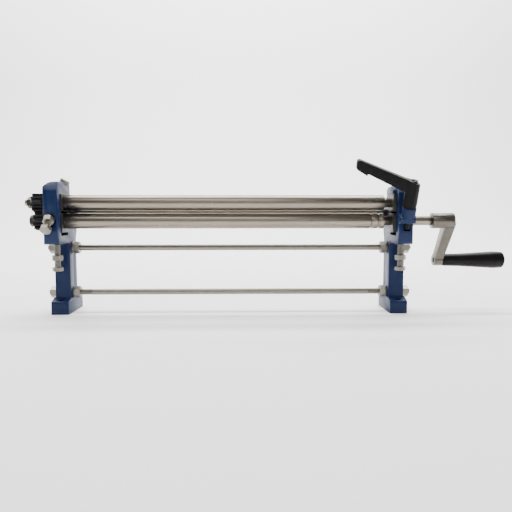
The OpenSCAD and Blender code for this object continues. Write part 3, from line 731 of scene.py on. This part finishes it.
@dataclass
class Fasteners:
    """Makes threaded rods, bolts and nuts in place.

    A thread starts root_gap inside its bolt's head. A cone point ends at the radius point_r.
    """

    shop: Shop
    ridges: ThreadTree = field(default_factory=ThreadTree)
    tip_chamfer: float = 1.0 * MM
    root_gap: float = 0.6 * MM
    point_r: float = 0.3 * MM

    def threaded(
        self, name: str, thread: Thread, low: float, high: float, slot: Slot, point_l: float = 0.0
    ) -> list[bpy.types.Object]:
        """A threaded stretch along Z, with its core.

        Args:
            name: Stem of the parts' names.
            thread: The thread's sizes.
            low: Height at which it starts.
            high: Height at which it ends.
            slot: Its finish.
            point_l: Length of the cone point at the high end, or 0 for a chamfer.

        Returns:
            The core and the ridge.
        """
        core_r = thread.core_r
        tip = self.tip_chamfer
        end = [(high - tip, core_r), (high, core_r - tip)]
        if point_l > 0.0:
            end = [(high - point_l, core_r), (high, self.point_r)]
        rows = [(low, core_r - tip), (low + tip, core_r), *end]
        core = turned(f"{name}_core", rows, False, SIDES_CORE)
        inset = thread.ridge + tip / 2
        top = high - max(inset, point_l + thread.ridge)
        material = self.shop.materials[slot]
        return [core, self.ridges.wind(f"{name}_ridge", thread, low + inset, top, material)]

    def bolt(
        self, node: str, guide: str, axis: Vector, thread: Thread, flats: float, head_h: float,
        head_low: bool, point_l: float = 0.0,
    ) -> bpy.types.Object:
        """A hexagon bolt in the place of its node.

        Args:
            node: The node that it replaces.
            guide: A node whose centre is on the bolt's axis.
            axis: The axis' direction.
            thread: The thread's sizes.
            flats: Width across the flats.
            head_h: Height of the head.
            head_low: Whether the head is at the low end of the axis.
            point_l: Length of the cone point at the tip, or 0 for a chamfer.

        Returns:
            The finished piece.
        """
        origin = self.shop.centre(guide)
        low, high = self.shop.span(node, origin, axis)
        if not head_low:
            axis = -axis
            low, high = -high, -low
        head = HexForm(flats, head_h).build(f"{node}_head")
        head.data.transform(Matrix.Translation((0.0, 0.0, low)))
        start = low + head_h - self.root_gap
        shank = self.threaded(node, thread, start, high, Slot.ZINC, point_l)
        piece = joined(f"{node}_made", [head, *shank], aimed(origin, axis))
        return self.shop.finish_piece(piece, Slot.ZINC, node)

    def nut(
        self, node: str, axis: Vector, thread: Thread, flats: float, slot: Slot
    ) -> bpy.types.Object:
        """A hexagon nut in the place of its node.

        Args:
            node: The node that it replaces.
            axis: The axis' direction.
            thread: The thread's sizes.
            flats: Width across the flats.
            slot: Its finish.

        Returns:
            The finished piece.
        """
        origin = self.shop.centre(node)
        low, high = self.shop.span(node, origin, axis)
        part = HexForm(flats, high - low, thread.diameter / 2).build(f"{node}_form")
        part.data.transform(Matrix.Translation((0.0, 0.0, low)))
        piece = joined(f"{node}_made", [part], aimed(origin, axis))
        return self.shop.finish_piece(piece, slot, node)


@dataclass
class SideFrames:
    """The two castings with their feet, heads and hinge ears."""

    shop: Shop
    edge_r: float = 1.1 * MM

    def build(self) -> None:
        """Makes both castings."""
        for side in ("left", "right"):
            self.shop.rounded_copy(f"{side}_frame", Slot.BLUE_PAINT, self.edge_r)


@dataclass
class Rolls:
    """The three rolls with their journals and wire grooves."""

    shop: Shop
    edge_r: float = 0.5 * MM

    def build(self) -> None:
        """Makes the rolls."""
        for name in ("top_roll", "lower_roll", "rear_roll"):
            self.shop.rounded_copy(name, Slot.ROLL_STEEL, self.edge_r)


@dataclass
class Bearings:
    """The sliding blocks, the ball bush and the plain bushes."""

    shop: Shop
    block_edge: float = 0.6 * MM
    bush_edge: float = 0.3 * MM

    def build(self) -> None:
        """Makes the blocks, then the bushes."""
        blocks = ["top_left_housing", "top_right_block"]
        bushes = ["top_left_ball_bush", "top_right_bush"]
        for row in ("lower", "rear"):
            for side in ("left", "right"):
                blocks.append(f"{row}_{side}_block")
                bushes.append(f"{row}_{side}_bush")
        for name in blocks:
            self.shop.rounded_copy(name, Slot.BLOCK_IRON, self.block_edge)
        for name in bushes:
            self.shop.rounded_copy(name, Slot.DARK_STEEL, self.bush_edge)


@dataclass
class GearPair:
    """The two gears at the left, with their spacers, keys and nuts."""

    shop: Shop
    fasteners: Fasteners
    edge_r: float = 0.35 * MM
    tooth_deg: float = 28.0
    nut_flats: float = 19 * MM

    def build(self) -> None:
        """Makes both gears and what holds them."""
        for row in ("top", "lower"):
            self.shop.rounded_copy(f"{row}_gear", Slot.BLACK_GEAR, self.edge_r, self.tooth_deg)
            self.shop.rounded_copy(f"{row}_gear_spacer", Slot.BLOCK_IRON, self.edge_r)
            self.shop.rounded_copy(f"{row}_gear_key", Slot.DARK_STEEL, self.edge_r)
            self.fasteners.nut(f"{row}_gear_nut", ALONG_X, M12, self.nut_flats, Slot.BLACK_NUT)


@dataclass
class TieRods:
    """The two rods that space the side frames, with their nuts and washers."""

    shop: Shop
    fasteners: Fasteners
    nut_flats: float = 21 * MM
    washer_edge: float = 0.3 * MM
    high_thread_l: float = 62 * MM
    low_thread_l: float = 84 * MM
    neck_l: float = 3 * MM

    def rod(self, node: str, thread_l: float) -> None:
        """Makes one rod with a thread at each end.

        Args:
            node: The node that it replaces.
            thread_l: Length of each threaded end.
        """
        origin = self.shop.centre(node)
        low, high = self.shop.span(node, origin, ALONG_X)
        start = low + thread_l
        end = high - thread_l
        rows = [
            (start, M12.core_r),
            (start + self.neck_l / 2, M12.diameter / 2),
            (end - self.neck_l / 2, M12.diameter / 2),
            (end, M12.core_r),
        ]
        parts = [turned(f"{node}_shank", rows, False, SIDES_SHANK)]
        parts += self.fasteners.threaded(f"{node}_a", M12, low, start + self.neck_l, Slot.ZINC)
        parts += self.fasteners.threaded(f"{node}_b", M12, end - self.neck_l, high, Slot.ZINC)
        piece = joined(f"{node}_made", parts, aimed(origin, ALONG_X))
        self.shop.finish_piece(piece, Slot.ZINC, node)

    def nuts(self) -> None:
        """Makes the eight nuts as one piece, from the places of the node's solids."""
        node = "tie_rod_nuts"
        parts = []
        for number, (low, high) in enumerate(solid_boxes(self.shop.nodes[node].data)):
            middle = (low + high) / 2
            length = high.x - low.x
            part = HexForm(self.nut_flats, length, M12.diameter / 2).build(f"{node}_{number}")
            part.data.transform(Matrix.Translation((0.0, 0.0, -length / 2)))
            parts.append(joined(f"{node}_{number}", [part], aimed(middle, ALONG_X)))
        piece = joined(f"{node}_made", parts, Matrix.Identity(4))
        self.shop.finish_piece(piece, Slot.ZINC, node)

    def build(self) -> None:
        """Makes the rods, the nuts and the washers."""
        self.rod("upper_tie_rod", self.high_thread_l)
        self.rod("lower_tie_rod", self.low_thread_l)
        self.nuts()
        self.shop.rounded_copy("tie_rod_washers", Slot.ZINC, self.washer_edge)


@dataclass
class Adjusters:
    """The bolts that set the lower and rear rolls' heights, with their lock nuts."""

    shop: Shop
    fasteners: Fasteners
    flats: float = 19 * MM
    rear_flats: float = 17 * MM
    head_h: float = 8 * MM

    def build(self) -> None:
        """Makes the front and rear bolts on both sides."""
        rear_axis = Vector(self.shop.joints["rear_roll_shift"]["axis"]).normalized()
        for side in ("left", "right"):
            self.fasteners.bolt(
                f"{side}_adjusting_bolt", f"{side}_adjusting_nut", UP, M12, self.flats,
                self.head_h, True,
            )
            self.fasteners.nut(f"{side}_adjusting_nut", UP, M12, self.flats, Slot.ZINC)
            self.fasteners.bolt(
                f"rear_{side}_adjusting_bolt", f"rear_{side}_adjusting_nut", rear_axis, M10,
                self.rear_flats, self.head_h, True,
            )
            self.fasteners.nut(
                f"rear_{side}_adjusting_nut", rear_axis, M10, self.rear_flats, Slot.ZINC
            )


@dataclass
class HeadFittings:
    """The locking bolt with its nut, and the oil plug, on the left head."""

    shop: Shop
    fasteners: Fasteners
    flats: float = 19 * MM
    head_h: float = 8 * MM
    plug_edge: float = 0.5 * MM

    def build(self) -> None:
        """Makes the bolt, its nut and the plug."""
        out = Vector((0.0, -1.0, -1.0)).normalized()
        # A cone point of 45 degrees is as long as the bolt's radius
        point_l = M12.diameter / 2
        self.fasteners.bolt(
            "left_locking_bolt", "left_locking_nut", out, M12, self.flats, self.head_h, False,
            point_l,
        )
        self.fasteners.nut("left_locking_nut", out, M12, self.flats, Slot.ZINC)
        self.shop.rounded_copy("oil_plug", Slot.ZINC, self.plug_edge)


@dataclass
class CapClamp:
    """The hinged cap over the right head, with its clamping screw and lever."""

    shop: Shop
    cast_edge: float = 1.0 * MM
    lever_edge: float = 0.9 * MM
    small_edge: float = 0.4 * MM

    def build(self) -> None:
        """Makes the cap, its pin, the screw, the lever and the button."""
        self.shop.rounded_copy("roll_cap", Slot.BLUE_PAINT, self.cast_edge)
        self.shop.rounded_copy("cap_hinge_pin", Slot.DARK_STEEL, self.small_edge)
        self.shop.rounded_copy("clamp_screw", Slot.LEVER_BLACK, self.small_edge)
        self.shop.rounded_copy("clamp_lever", Slot.LEVER_BLACK, self.lever_edge)
        self.shop.rounded_copy("clamp_button", Slot.LEVER_BLACK, self.small_edge)


@dataclass
class CrankHandle:
    """The crank on the lower roll, with its set screw, spindle and grip."""

    shop: Shop
    arm_edge: float = 1.6 * MM
    small_edge: float = 0.3 * MM
    grip_edge: float = 0.4 * MM

    def build(self) -> None:
        """Makes the crank and what it carries."""
        self.shop.rounded_copy("crank", Slot.CRANK_METAL, self.arm_edge)
        self.shop.rounded_copy("crank_set_screw", Slot.DARK_STEEL, self.small_edge)
        self.shop.rounded_copy("crank_spindle", Slot.DARK_STEEL, self.small_edge)
        self.shop.rounded_copy("crank_grip", Slot.GRIP_BLACK, self.grip_edge)


@dataclass(frozen=True)
class Panel:
    """A soft panel light, turned to the machine's middle unless another target is given."""

    name: str
    place: Triple
    size: tuple[float, float]
    power: float
    target: Triple = (0.0, 0.0, 0.15)

    def build(self) -> None:
        """Adds the light, turned to its target."""
        lamp = bpy.data.lights.new(self.name, "AREA")
        lamp.shape = "RECTANGLE"
        lamp.size, lamp.size_y = self.size
        lamp.energy = self.power
        made = bpy.data.objects.new(self.name, lamp)
        bpy.context.scene.collection.objects.link(made)
        made.location = self.place
        aim = Vector(self.target) - Vector(self.place)
        made.rotation_euler = aim.to_track_quat("-Z", "Y").to_euler()


PANELS = (
    Panel("key_panel", (-0.4, -1.5, 1.7), (2.2, 0.45), 14.0),
    Panel("top_panel", (0.0, 0.1, 1.9), (2.4, 0.35), 36.0),
    Panel("front_strip", (0.1, -2.2, 0.75), (2.6, 0.12), 5.0),
    Panel("right_panel", (1.9, -0.7, 0.9), (0.3, 1.0), 4.0),
    Panel("backdrop_panel", (0.0, 1.2, 2.6), (4.0, 0.8), 230.0, (0.0, 2.4, 0.6)),
)


@dataclass
class Studio:
    """The floor, the lights and the camera.

    The view is a fitted one: focal_px, yaw_px and pitch_px are pixels of a picture photo_px wide.
    """

    photo_px: int = 512
    focal_px: float = 550.0
    sensor: float = 36.0
    eye: Triple = (0.027, -1.1166, 0.21425)
    yaw_px: float = 12.0
    pitch_px: float = 51.0
    floor_half: float = 4.0
    wall_y: float = 2.4
    wall_h: float = 3.0
    bend_r: float = 1.0
    floor_color: Triple = (0.9, 0.9, 0.9)
    floor_rough: float = 0.7
    glow_color: Triple = (1.0, 1.0, 1.0)
    floor_glow: float = 0.36
    bend_steps: int = 16
    room_slope: float = 1.6
    room_low: Triple = (0.06, 0.06, 0.062)
    room_high: Triple = (0.32, 0.325, 0.335)

    def floor(self) -> None:
        """Makes the floor, which curves up into a wall behind the machine."""
        rows = [(-self.floor_half, 0.0), (self.wall_y - self.bend_r, 0.0)]
        for i in range(1, self.bend_steps + 1):
            angle = math.pi / 2 * i / self.bend_steps
            rows.append(
                (
                    self.wall_y - self.bend_r + self.bend_r * math.sin(angle),
                    self.bend_r - self.bend_r * math.cos(angle),
                )
            )
        rows.append((self.wall_y, self.wall_h))
        points = [(x, y, z) for y, z in rows for x in (-self.floor_half, self.floor_half)]
        faces = [(2 * i, 2 * i + 1, 2 * i + 3, 2 * i + 2) for i in range(len(rows) - 1)]
        mesh = bpy.data.meshes.new("floor")
        mesh.from_pydata(points, [], faces)
        mesh.shade_smooth()
        material = bpy.data.materials.new("pale_floor")
        material.use_nodes = True
        graph = Graph(material.node_tree)
        shader = graph.node(
            "ShaderNodeBsdfPrincipled",
            {},
            {
                "Base Color": (*self.floor_color, 1.0),
                "Roughness": self.floor_rough,
                "Emission Color": (*self.glow_color, 1.0),
                "Emission Strength": self.floor_glow,
            },
        )
        graph.node("ShaderNodeOutputMaterial", {}, {"Surface": shader.outputs[0]})
        mesh.materials.append(material)
        linked("floor", mesh)

    def lights(self) -> None:
        """Adds the panels and the room's even light."""
        for panel in PANELS:
            panel.build()
        world = bpy.data.worlds.new("room")
        bpy.context.scene.world = world
        world.use_nodes = True
        graph = Graph(world.node_tree)
        way = graph.node("ShaderNodeTexCoord", {}, {}).outputs["Generated"]
        height = Value(graph, graph.node("ShaderNodeSeparateXYZ", {}, {"Vector": way}).outputs["Z"])
        glow = graph.node(
            "ShaderNodeBackground",
            {},
            {"Color": graph.mix(height * self.room_slope, self.room_low, self.room_high)},
        )
        graph.node("ShaderNodeOutputWorld", {}, {"Surface": glow.outputs[0]})

    def camera(self) -> None:
        """Adds the camera at the photograph's view."""
        lens = bpy.data.cameras.new("camera")
        lens.sensor_width = self.sensor
        lens.lens = self.focal_px / self.photo_px * self.sensor
        made = bpy.data.objects.new("camera", lens)
        bpy.context.scene.collection.objects.link(made)
        made.location = self.eye
        yaw = math.atan(self.yaw_px / self.focal_px)
        pitch = math.atan(self.pitch_px / self.focal_px)
        aim = Vector(
            (math.sin(yaw) * math.cos(pitch), math.cos(yaw) * math.cos(pitch), -math.sin(pitch))
        )
        made.rotation_euler = aim.to_track_quat("-Z", "Y").to_euler()
        bpy.context.scene.camera = made

    def build(self) -> None:
        """Sets the studio up."""
        self.floor()
        self.lights()
        self.camera()


def main() -> None:
    """Builds every sub-assembly and the studio."""
    logging.basicConfig(level=logging.INFO)
    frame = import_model()
    shop = Shop(frame)
    fasteners = Fasteners(shop)
    SideFrames(shop).build()
    Rolls(shop).build()
    Bearings(shop).build()
    GearPair(shop, fasteners).build()
    TieRods(shop, fasteners).build()
    Adjusters(shop, fasteners).build()
    HeadFittings(shop, fasteners).build()
    CapClamp(shop).build()
    CrankHandle(shop).build()
    Studio().build()


if __name__ == "__main__":
    main()
